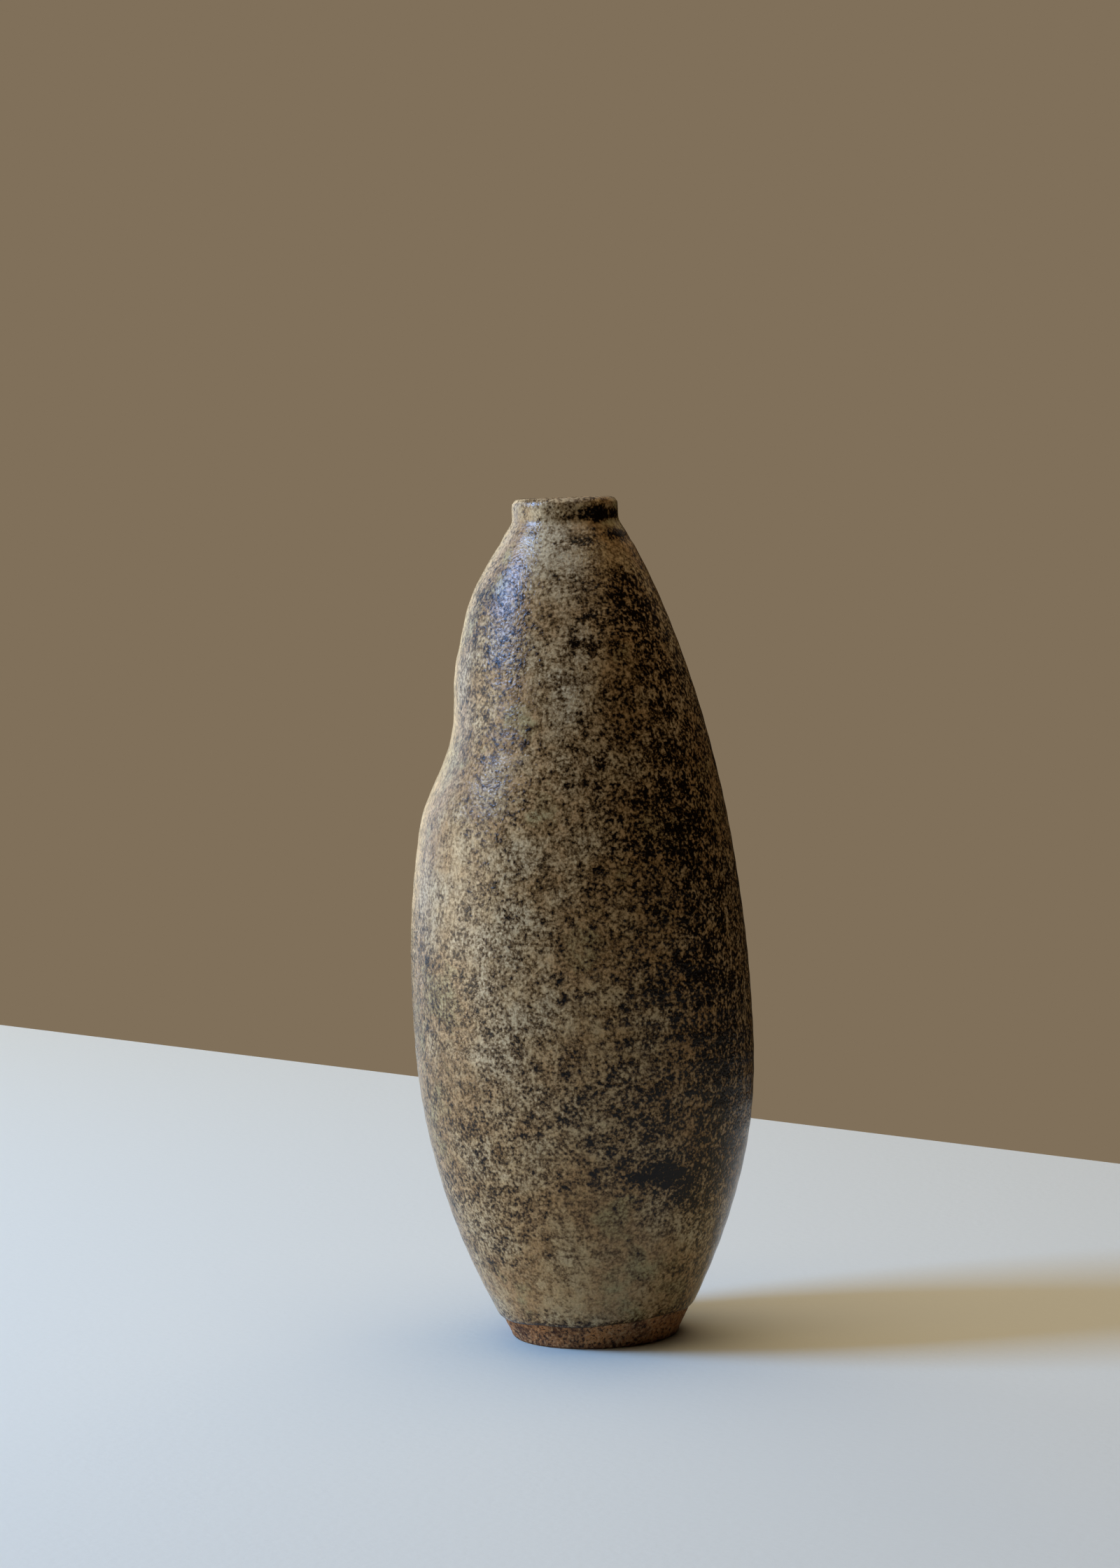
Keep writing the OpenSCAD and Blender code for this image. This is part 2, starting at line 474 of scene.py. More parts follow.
SMOOTH = {"interpolation_type": "SMOOTHSTEP"}
RGBA = {"data_type": "RGBA"}
ADD = {"operation": "ADD"}
SUBTRACT = {"operation": "SUBTRACT"}
MULTIPLY_ADD = {"operation": "MULTIPLY_ADD"}
SCALE = {"operation": "SCALE"}
LENGTH = {"operation": "LENGTH"}
TEXTURE = {"vector_type": "TEXTURE"}

# The colour sockets of a Mix node, by number, because several share a name.
SHARE, UNDER, OVER = 0, 6, 7
MIXED = 2


@dataclass(frozen=True)
class Patch:
    """A place on the pot where the iron lies thicker or thinner, or is thinned to paint a highlight
    or sheen.

    Angles are in degrees from +X, heights and half sizes in millimetres.
    """

    angle: float
    height: float
    half_width: float
    half_height: float
    amount: float


@dataclass(frozen=True)
class Place:
    """A patch turned into a spot in space, in millimetres."""

    centre: tuple[float, float, float]
    turn: float
    half: tuple[float, float, float]
    amount: float


@dataclass(frozen=True)
class Stretch:
    """One range of values, and the range that it is turned into."""

    start: float
    end: float
    low: float = 0.0
    high: float = 1.0

    def inputs(self, value: Socket) -> Inputs:
        """What a range node takes, so that it turns value from one range into the other."""
        into = {"To Min": self.low, "To Max": self.high}
        return {"Value": value, "From Min": self.start, "From Max": self.end, **into}


@dataclass(frozen=True)
class Grain:
    """Noise with lumps of a real size, in millimetres."""

    lump: float
    detail: float = 3.0
    roughness: float = 0.6

    def inputs(self, space: Socket) -> Inputs:
        """What a noise node takes, so that its lumps have this size."""
        rest = {"Detail": self.detail, "Roughness": self.roughness}
        return {"Vector": space, "Scale": 1 / self.lump, **rest}


def fresh(name: str) -> tuple[bpy.types.Material, Tree]:
    """Makes an empty node material.

    Args:
        name: The material's name.

    Returns:
        The material and its tree.
    """
    material = bpy.data.materials.new(name)
    material.use_nodes = True
    material.node_tree.nodes.clear()
    return material, material.node_tree


def finish_with(tree: Tree, shader: bpy.types.Node) -> None:
    """Links a shader to the material's output."""
    add_node(tree, "ShaderNodeOutputMaterial", None, {"Surface": shader.outputs[0]})


def millimetres(tree: Tree) -> Socket:
    """Object coordinates in millimetres, so that the sizes of grains are real ones."""
    place = add_node(tree, "ShaderNodeTexCoord").outputs["Object"]
    return add_node(tree, "ShaderNodeVectorMath", SCALE, {0: place, "Scale": TO_MM}).outputs[0]


def lay_over(tree: Tree, colour: Socket | Colour, *layers: tuple[Socket, str]) -> Socket:
    """Lays colours over a ground, one after the other.

    Args:
        tree: The material's tree.
        colour: The ground.
        layers: How much of each layer shows, and its colour.

    Returns:
        The colour that is left showing.
    """
    for share, over in layers:
        coat = {SHARE: share, UNDER: colour, OVER: linear(over)}
        colour = add_node(tree, "ShaderNodeMix", RGBA, coat).outputs[MIXED]
    return colour


@dataclass(frozen=True)
class SpeckledGlaze:
    """Oatmeal stoneware glaze fired in reduction over an iron-bearing body.

    Iron bleeds up through the glaze as dark specks, which gives the eye a dense
    pepper-and-sand pattern that thickens into black pools. The surface is a soft
    gloss with an orange-peel skin, so a window's reflection breaks into grains.
    """

    name: str = "reduction_fired_oatmeal_glaze"
    sand: str = "#B0956A"
    pale: str = "#B8A37C"
    toast: str = "#A68458"
    olive: str = "#9E8C60"
    rust: str = "#865C2C"
    brown: str = "#583F20"
    iron: str = "#0E0602"
    soaked: str = "#35220F"
    roughness: float = 0.18
    speck_roughness: float = 0.26
    specular: float = 0.2
    ior: float = 1.52
    # How much iron there is: in clouds, and in the patches, which fade out at their rims.
    # A few patches thin the iron to paint a highlight or sheen as paler glaze.
    clouds: Grain = Grain(12.0)
    cloud_iron: Stretch = Stretch(0.3, 0.7, -0.32, 0.32)
    patch_rim: tuple[float, float] = (0.2, 1.25)
    # Specks come in bunches. Where there is more iron they vary more, and are larger.
    specks: Grain = Grain(0.66)
    bunches: Grain = Grain(2.2, 2.0, 0.5)
    bunching: float = 0.5
    middle: float = 0.75
    variety: Stretch = Stretch(-0.4, 1.4, 0.76, 1.6)
    growth: float = 0.1
    # A few blotches are larger: their cell's chance sets their size.
    blotch_gap: float = 4.2
    blotch_size: Stretch = Stretch(0.35, 1.0, 0.0, 0.3)
    blotch_iron: Stretch = Stretch(-0.08, 0.12, 0.0, 0.13)
    # Where iron is thickest it makes a black core, and a little less makes the brown halo.
    core: Stretch = Stretch(0.77, 0.96)
    halo: Stretch = Stretch(0.56, 0.86, 0.0, 0.95)
    # The glaze between the specks: tones in clouds, rust by the iron, and a fine mottle.
    tones: Grain = Grain(18.0, 4.0, 0.65)
    tone_stops: tuple[float, float, float, float] = (0.38, 0.48, 0.56, 0.64)
    rusting: Stretch = Stretch(0.1, 1.1, 0.0, 0.45)
    mottle: Grain = Grain(0.45, 2.0)
    mottling: Stretch = Stretch(0.3, 0.7, 0.8, 1.2)
    # The skin's peel, with the specks a little proud of it.
    peel: Grain = Grain(0.5, 2.5, 0.55)
    peel_depth: float = 0.13 * MM
    speck_rise: float = 0.18
    # The lower edge, as shares of the coat's length. The halo makes it waver.
    edge_waver: float = -0.012
    edge_soak: Stretch = Stretch(0.022, 0.038, 0.85, 0.0)

    def material(self, places: list[Place]) -> bpy.types.Material:
        """Builds the glaze.

        Args:
            places: Where the iron pools or thins, or is thinned to paint a highlight or sheen.

        Returns:
            The material.
        """
        material, tree = fresh(self.name)
        space = millimetres(tree)
        density = self._density(tree, space, places)
        core, halo = self._specks(tree, space, density)
        ground = self._ground(tree, space, density)
        edge = self._edge(tree, halo)
        layers = (halo, self.brown), (core, self.iron), (edge, self.soaked)
        dulling = Stretch(0.0, 1.0, self.roughness, self.speck_roughness)
        gloss = add_node(tree, "ShaderNodeMapRange", None, dulling.inputs(core))
        shader = add_node(tree, "ShaderNodeBsdfPrincipled", None, {
            "Base Color": lay_over(tree, ground, *layers),
            "Roughness": gloss.outputs[0],
            "Specular IOR Level": self.specular,
            "IOR": self.ior,
            "Normal": self._skin(tree, space, core),
        })
        finish_with(tree, shader)
        return material

    def _edge(self, tree: Tree, halo: Socket) -> Socket:
        """The thin lower edge, where iron from the clay has soaked right through.

        Args:
            tree: The glaze's tree.
            halo: The specks' stain.

        Returns:
            How far the edge is soaked.
        """
        rows = add_node(tree, "ShaderNodeUVMap", {"uv_map": ROUND_MAP})
        along = add_node(tree, "ShaderNodeSeparateXYZ", None, {0: rows.outputs[0]})
        waver = {0: halo, 1: self.edge_waver, 2: along.outputs["Y"]}
        ragged = add_node(tree, "ShaderNodeMath", MULTIPLY_ADD, waver).outputs[0]
        soaked = add_node(tree, "ShaderNodeMapRange", SMOOTH, self.edge_soak.inputs(ragged))
        return soaked.outputs[0]

    def _density(self, tree: Tree, space: Socket, places: list[Place]) -> Socket:
        """How much iron there is, from clouds of it and from the placed patches.

        Args:
            tree: The glaze's tree.
            space: Where on the pot, in millimetres.
            places: Where the iron pools or thins, or is thinned to paint a highlight or sheen.

        Returns:
            The amount: mostly from -1 to 1, and more in the pools.
        """
        cloud = add_node(tree, "ShaderNodeTexNoise", None, self.clouds.inputs(space)).outputs[0]
        total = add_node(tree, "ShaderNodeMapRange", None, self.cloud_iron.inputs(cloud)).outputs[0]
        for place in places:
            shifted = add_node(tree, "ShaderNodeMapping", TEXTURE, {
                "Vector": space,
                "Location": place.centre,
                "Rotation": (0.0, 0.0, place.turn),
                "Scale": place.half,
            })
            ball = add_node(tree, "ShaderNodeVectorMath", LENGTH, {0: shifted.outputs[0]})
            rim = Stretch(*self.patch_rim, place.amount, 0.0)
            fade = add_node(tree, "ShaderNodeMapRange", SMOOTH, rim.inputs(ball.outputs["Value"]))
            both = {0: total, 1: fade.outputs[0]}
            total = add_node(tree, "ShaderNodeMath", ADD, both).outputs[0]
        return total

    def _specks(self, tree: Tree, space: Socket, density: Socket) -> tuple[Socket, Socket]:
        """Iron specks: black cores, and the brown stain that bleeds round them.

        Args:
            tree: The glaze's tree.
            space: Where on the pot, in millimetres.
            density: How much iron there is.

        Returns:
            How black the core is, and how brown the halo is.
        """
        fine = add_node(tree, "ShaderNodeTexNoise", None, self.specks.inputs(space))
        bunch = add_node(tree, "ShaderNodeTexNoise", None, self.bunches.inputs(space))
        sums = {0: bunch.outputs[0], 1: self.bunching, 2: fine.outputs[0]}
        bunched = add_node(tree, "ShaderNodeMath", MULTIPLY_ADD, sums)
        apart = add_node(tree, "ShaderNodeMath", SUBTRACT, {0: bunched.outputs[0], 1: self.middle})
        variety = add_node(tree, "ShaderNodeMapRange", None, self.variety.inputs(density))
        grown = {0: density, 1: self.growth, 2: self.middle}
        raised = add_node(tree, "ShaderNodeMath", MULTIPLY_ADD, grown)
        varied = {0: apart.outputs[0], 1: variety.outputs[0], 2: raised.outputs[0]}
        loaded = add_node(tree, "ShaderNodeMath", MULTIPLY_ADD, varied)
        blotch = self._blotches(tree, space)
        iron = add_node(tree, "ShaderNodeMath", ADD, {0: loaded.outputs[0], 1: blotch}).outputs[0]
        core = add_node(tree, "ShaderNodeMapRange", SMOOTH, self.core.inputs(iron))
        halo = add_node(tree, "ShaderNodeMapRange", SMOOTH, self.halo.inputs(iron))
        return core.outputs[0], halo.outputs[0]

    def _blotches(self, tree: Tree, space: Socket) -> Socket:
        """The few larger blotches, each in a cell of its own.

        Args:
            tree: The glaze's tree.
            space: Where on the pot, in millimetres.

        Returns:
            How much iron they add.
        """
        cells = {"Vector": space, "Scale": 1 / self.blotch_gap, "Randomness": 1.0}
        spots = add_node(tree, "ShaderNodeTexVoronoi", None, cells)
        chance = add_node(tree, "ShaderNodeSeparateColor", None, {0: spots.outputs["Color"]})
        sized = self.blotch_size.inputs(chance.outputs[0])
        size = add_node(tree, "ShaderNodeMapRange", None, sized)
        depth = {0: size.outputs[0], 1: spots.outputs["Distance"]}
        inside = add_node(tree, "ShaderNodeMath", SUBTRACT, depth).outputs[0]
        blotch = add_node(tree, "ShaderNodeMapRange", SMOOTH, self.blotch_iron.inputs(inside))
        return blotch.outputs[0]

    def _ground(self, tree: Tree, space: Socket, density: Socket) -> Socket:
        """The glaze between the specks: sand, paler where thin, toasted and olive in clouds.

        Args:
            tree: The glaze's tree.
            space: Where on the pot, in millimetres.
            density: How much iron there is.

        Returns:
            The ground's colour.
        """
        tone = add_node(tree, "ShaderNodeTexNoise", None, self.tones.inputs(space))
        ramp = add_node(tree, "ShaderNodeValToRGB", None, {0: tone.outputs[0]})
        colours = (self.pale, self.sand, self.toast, self.olive)
        set_ramp(ramp, [(at, linear(colour)) for at, colour in zip(self.tone_stops, colours)])
        rusty = add_node(tree, "ShaderNodeMapRange", SMOOTH, self.rusting.inputs(density))
        warmed = lay_over(tree, ramp.outputs[0], (rusty.outputs[0], self.rust))
        grain = add_node(tree, "ShaderNodeTexNoise", None, self.mottle.inputs(space)).outputs[0]
        lift = add_node(tree, "ShaderNodeMapRange", None, self.mottling.inputs(grain))
        lifted = {0: warmed, "Scale": lift.outputs[0]}
        return add_node(tree, "ShaderNodeVectorMath", SCALE, lifted).outputs[0]

    def _skin(self, tree: Tree, space: Socket, core: Socket) -> Socket:
        """The orange-peel skin, with the iron specks standing a little proud.

        Args:
            tree: The glaze's tree.
            space: Where on the pot, in millimetres.
            core: The specks' black cores.

        Returns:
            The surface's normal.
        """
        peel = add_node(tree, "ShaderNodeTexNoise", None, self.peel.inputs(space))
        proud = {0: core, 1: self.speck_rise, 2: peel.outputs[0]}
        raised = add_node(tree, "ShaderNodeMath", MULTIPLY_ADD, proud)
        bumps = {"Height": raised.outputs[0], "Distance": self.peel_depth, "Strength": 1.0}
        return add_node(tree, "ShaderNodeBump", None, bumps).outputs[0]


@dataclass(frozen=True)
class BareStoneware:
    """Iron-bearing stoneware clay, turned on the wheel and fired without glaze.

    Reduction toasts it to a warm brown, with pale grog and dark iron grains that the
    turning tool laid open. It turns darker towards the bottom of the foot.
    """

    name: str = "turned_toasted_stoneware"
    clay: str = "#8E623C"
    flash: str = "#A9713F"
    toast: str = "#523017"
    grog: str = "#BC9668"
    iron: str = "#1E120A"
    roughness: float = 0.8
    specular: float = 0.3
    clouds: Grain = Grain(5.0, 4.0, 0.7)
    cloud_stops: tuple[float, float, float] = (0.36, 0.48, 0.62)
    # Darker towards the bottom of the foot, over its lowest 1.6 mm.
    rim: Stretch = Stretch(0.2, 1.6, 0.65, 0.0)
    grains: Grain = Grain(0.7, 3.0, 0.65)
    pale_grains: Stretch = Stretch(0.53, 0.64, 0.0, 0.6)
    dark_grains: Stretch = Stretch(0.48, 0.38, 0.0, 0.9)
    grain_depth: float = 0.35 * MM

    def material(self) -> bpy.types.Material:
        """Builds the bare clay.

        Returns:
            The material.
        """
        material, tree = fresh(self.name)
        space = millimetres(tree)
        cloud = add_node(tree, "ShaderNodeTexNoise", None, self.clouds.inputs(space))
        body = add_node(tree, "ShaderNodeValToRGB", None, {0: cloud.outputs[0]})
        colours = (self.toast, self.clay, self.flash)
        set_ramp(body, [(at, linear(colour)) for at, colour in zip(self.cloud_stops, colours)])
        height = add_node(tree, "ShaderNodeSeparateXYZ", None, {0: space}).outputs["Z"]
        grain = add_node(tree, "ShaderNodeTexNoise", None, self.grains.inputs(space)).outputs[0]
        windows = (
            (self.rim.inputs(height), self.toast),
            (self.pale_grains.inputs(grain), self.grog),
            (self.dark_grains.inputs(grain), self.iron),
        )
        layers = [
            (add_node(tree, "ShaderNodeMapRange", SMOOTH, window).outputs[0], over)
            for window, over in windows
        ]
        bumps = {"Height": grain, "Distance": self.grain_depth, "Strength": 1.0}
        shader = add_node(tree, "ShaderNodeBsdfPrincipled", None, {
            "Base Color": lay_over(tree, body.outputs[0], *layers),
            "Roughness": self.roughness,
            "Specular IOR Level": self.specular,
            "Normal": add_node(tree, "ShaderNodeBump", None, bumps).outputs[0],
        })
        finish_with(tree, shader)
        return material


@dataclass(frozen=True)
class PouredLiner:
    """Oatmeal glaze poured in and drained, thick and glossy.

    It ran down as it drained, which gives the eye soft upright streaks, with few specks.
    """

    name: str = "poured_liner_glaze"
    sand: str = "#A0926F"
    drip: str = "#6F6044"
    iron: str = "#20160C"
    roughness: float = 0.22
    ior: float = 1.52
    # Streaks are noise in space squeezed this much, so they stand 25 mm tall and 3 mm wide.
    streak_squeeze: tuple[float, float, float] = (0.3, 0.3, 0.04)
    streaks: Grain = Grain(1.0, 3.0, 0.5)
    specks: Grain = Grain(10 / 9, 2.0)
    core: Stretch = Stretch(0.58, 0.68, 0.0, 0.9)
    skin_depth: float = 0.03 * MM

    def material(self) -> bpy.types.Material:
        """Builds the liner.

        Returns:
            The material.
        """
        material, tree = fresh(self.name)
        space = millimetres(tree)
        squeezed = {"Vector": space, "Scale": self.streak_squeeze}
        runs = add_node(tree, "ShaderNodeMapping", None, squeezed).outputs[0]
        streak = add_node(tree, "ShaderNodeTexNoise", None, self.streaks.inputs(runs)).outputs[0]
        fine = add_node(tree, "ShaderNodeTexNoise", None, self.specks.inputs(space)).outputs[0]
        core = add_node(tree, "ShaderNodeMapRange", SMOOTH, self.core.inputs(fine)).outputs[0]
        layers = (streak, self.drip), (core, self.iron)
        bumps = {"Height": fine, "Distance": self.skin_depth, "Strength": 1.0}
        shader = add_node(tree, "ShaderNodeBsdfPrincipled", None, {
            "Base Color": lay_over(tree, linear(self.sand), *layers),
            "Roughness": self.roughness,
            "IOR": self.ior,
            "Normal": add_node(tree, "ShaderNodeBump", None, bumps).outputs[0],
        })
        finish_with(tree, shader)
        return material


@dataclass(frozen=True)
class PaintedBoard:
    """Pale matt emulsion, rolled on to board, for the floor that the pot stands on.

    The roller's stipple is too fine to be seen as such. It softens the light a little.
    """

    name: str = "rolled_white_paint"
    white: str = "#D1CEBB"
    roughness: float = 0.85
    specular: float = 0.2
    stipple: Grain = Grain(5 / 3, 3.0, 0.5)
    stipple_depth: float = 0.1 * MM
    stipple_strength: float = 0.5

    def material(self) -> bpy.types.Material:
        """Builds the paint.

        Returns:
            The material.
        """
        material, tree = fresh(self.name)
        space = millimetres(tree)
        rolled = add_node(tree, "ShaderNodeTexNoise", None, self.stipple.inputs(space))
        bump = add_node(tree, "ShaderNodeBump", None, {
            "Height": rolled.outputs[0],
            "Distance": self.stipple_depth,
            "Strength": self.stipple_strength,
        })
        shader = add_node(tree, "ShaderNodeBsdfPrincipled", None, {
            "Base Color": linear(self.white),
            "Roughness": self.roughness,
            "Specular IOR Level": self.specular,
            "Normal": bump.outputs[0],
        })
        finish_with(tree, shader)
        return material


# ---- the pot -----------------------------------------------------------------


@dataclass
class OuterGlazeCoat:
    """The speckled coat from its rolled lower edge, over the lip, into the mouth."""

    form: ThrownForm
    sides: int = 360
    rows: int = 236
    back_rows: int = 20
    # Rows along the lower edge, in millimetres: close together where it rolls over.
    edge_steps: tuple[float, ...] = (0.0, 0.05, 0.1, 0.17, 0.26, 0.38, 0.55, 0.8, 1.1, 1.5, 2.0)
    sink: float = 0.12 * MM
    edge_round: float = 1.3 * MM
    roll: float = 0.02 * MM
    roll_at: float = 1.2 * MM
    # The lower edge stands higher on one side, and sways in waves of share, turns and shift.
    line_rise: float = 0.75 * MM
    line_turn: float = math.radians(330)
    line_sway: float = 0.45 * MM
    line_waves: tuple[tuple[float, int, float], ...] = (
        (0.45, 2, 0.8 + math.pi / 2),
        (0.3, 5, 0.0),
        (0.2, 9, 2.0),
    )
    # Throwing rings that wander, soft lumps, and the groove under the collar.
    ring_gap: float = 4.6 * MM
    ring_depth: float = 0.05 * MM
    ring_wander: float = 1.3
    wander_size: float = 40 * MM
    lump_depth: float = 0.09 * MM
    lump_size: float = 13 * MM
    groove_drop: float = 1.9 * MM
    groove_half: float = 1.3 * MM
    groove_depth: float = 0.1 * MM
    # How deep a patch's spot goes, in millimetres: more for a wide one, as the pot bends away.
    spot_depth: float = 3.0
    spot_bend: float = 20.0
    patches: tuple[Patch, ...] = (
        # Smudges on the collar.
        Patch(308, 156.7, 3.8, 1.8, 4.2),
        Patch(335, 156.8, 2.6, 1.4, 3.0),
        Patch(280, 156.6, 3.4, 1.5, 0.9),
        Patch(221, 157.4, 0.8, 1.4, 1.8),
        # Paler glaze on the collar's lit left: painted highlight, from the white wall at the left.
        Patch(225, 156.5, 6.0, 2.6, -0.9),
        # Rings and pale bands under it.
        Patch(275, 151.4, 9.0, 1.0, 1.1),
        Patch(330, 152.4, 9.0, 1.0, 1.1),
        Patch(300, 154.7, 12.0, 1.0, -1.0),
        Patch(300, 148.4, 14.0, 1.5, -0.4),
        Patch(296, 144.0, 12.0, 3.0, 0.4),
        # Paler glaze on the neck's lit left: painted highlight, from the white wall at the left.
        Patch(250, 151.0, 14.0, 5.0, -0.8),
        # Clouds down the front and right, with a few thin places.
        Patch(285, 20.0, 22.0, 9.0, -0.5),
        Patch(334, 84.0, 26.0, 76.0, 0.75),
        Patch(302, 88.0, 18.0, 60.0, 0.4),
        Patch(303, 137.0, 12.0, 7.0, 0.6),
        Patch(299, 96.0, 11.0, 6.0, 0.7),
        Patch(313, 70.0, 10.0, 7.0, 0.7),
        Patch(316, 34.0, 14.0, 11.0, 0.5),
        Patch(286, 43.0, 8.0, 20.0, 0.5),
        Patch(318, 55.0, 10.0, 8.0, 0.5),
        Patch(246, 122.0, 8.0, 9.0, -0.5),
        Patch(250, 14.0, 20.0, 7.0, -0.4),
        # The darker right side.
        Patch(325, 50.0, 16.0, 30.0, 0.5),
        Patch(316, 140.0, 7.0, 14.0, 0.9),
        Patch(318, 128.0, 6.0, 10.0, 0.7),
        Patch(314, 103.0, 10.0, 14.0, 0.7),
        Patch(320, 86.0, 10.0, 14.0, 0.6),
        # The smudge low on the front.
        Patch(291, 35.5, 7.0, 3.0, 1.5),
        Patch(302, 33.5, 8.0, 4.0, 1.4),
        Patch(324, 48.0, 6.0, 6.0, 1.2),
        Patch(291, 43.5, 1.6, 1.6, 1.6),
        # Painted sheen on the lit left belly: the iron is thinned where the white wall's
        # broad sheen pales the glaze. Then thin places just above the foot.
        Patch(215, 100.0, 14.0, 22.0, -0.5),
        Patch(270, 10.0, 26.0, 4.0, -0.9),
        Patch(200, 12.0, 20.0, 5.0, -0.5),
    )

    def line_height(self, angle: Points) -> Points:
        """Height of the coat's lower edge: higher towards the front right, and wavy.

        Args:
            angle: Directions from +X.

        Returns:
            A height for each direction.
        """
        wave = sum(share * np.sin(turns * angle + shift) for share, turns, shift in self.line_waves)
        tilt = self.line_rise * np.cos(angle - self.line_turn)
        return self.form.glaze_line + tilt + self.line_sway * wave

    def relief(self, spots: Points, z: Points, angle: Points) -> Points:
        """How far the coat lies under its full thickness: rings, lumps and the neck's groove.

        Args:
            spots: The smooth coat's points.
            z: Their heights.
            angle: Their directions.

        Returns:
            Depth at each point, never negative.
        """
        turns = z / self.ring_gap + angle / FULL_TURN
        wander = self.ring_wander * ripple(spots, self.wander_size, seed=3.1)
        rings = 0.5 + 0.5 * np.sin(FULL_TURN * turns + wander)
        lumps = 0.5 + 0.5 * ripple(spots, self.lump_size, seed=7.7)
        groove = hill((z - self.form.neck_z + self.groove_drop) / self.groove_half)
        return self.ring_depth * rings + self.lump_depth * lumps + self.groove_depth * groove

    def build(self) -> bpy.types.Object:
        """Builds the coat as one closed skin.

        Returns:
            The new object.
        """
        form = self.form
        outline = Outline(form.outside())
        angle = np.linspace(0, FULL_TURN, self.sides, endpoint=False)[None, :]
        start = outline.length_at_height(self.line_height(angle))
        edge = np.array(self.edge_steps)[:, None] * MM
        even = np.linspace(0, 1, self.rows)[1:, None]
        last = edge[-1, 0]
        span = outline.length - start - last
        run = np.vstack([edge + 0 * angle, last + even * span])
        bead = np.sqrt(1 - (1 - np.clip(run / self.edge_round, 0, 1)) ** 2)
        full = form.glaze * bead + self.roll * hill((run - self.roll_at) / self.roll_at)
        lip_turn = math.pi / 2 * form.lip_in
        over_lip = np.clip((start + run - outline.length + lip_turn) / lip_turn, 0, 1)
        coat = full + (form.liner - form.glaze) * over_lip - self.sink * (1 - bead)
        r, z = outline.at(start + run, coat)
        spots = form.fired(r, z, angle + 0 * r)
        calm = bead * (1 - over_lip)
        r, z = outline.at(start + run, coat - calm * self.relief(spots, z, angle + 0 * r))
        seen = form.fired(r, z, angle + 0 * r)
        back = np.linspace(1, 0, self.back_rows + 1)[:-1, None]
        rb, zb = outline.at(start + back * (outline.length - start))
        hidden = form.fired(rb, zb, angle + 0 * rb)
        grid = np.concatenate([seen, hidden])
        return LatheSkin("outer_glaze_coat", grid, Ends.LOOP, len(seen)).build()

    def places(self) -> list[Place]:
        """Finds where the patches lie in space.

        Returns:
            A place for each patch, in the same order.
        """
        outline = Outline(self.form.outside())
        found = []
        for patch in self.patches:
            angle = math.radians(patch.angle)
            length = outline.length_at_height(np.array([patch.height * MM]))
            r, z = outline.at(length, self.form.glaze)
            x, y, z = self.form.fired(r, z, np.array([angle]))[0] * TO_MM
            depth = max(self.spot_depth, patch.half_width ** 2 / self.spot_bend)
            half = (depth, patch.half_width, patch.half_height)
            found.append(Place((x, y, z), angle, half, patch.amount))
        return found

    def dress(self, piece: bpy.types.Object) -> None:
        """Gives the coat its glaze and its place in the frame.

        Args:
            piece: The object to dress.
        """
        piece.data.materials.append(SpeckledGlaze().material(self.places()))
        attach(piece, BODY)
        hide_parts("outer_glaze")


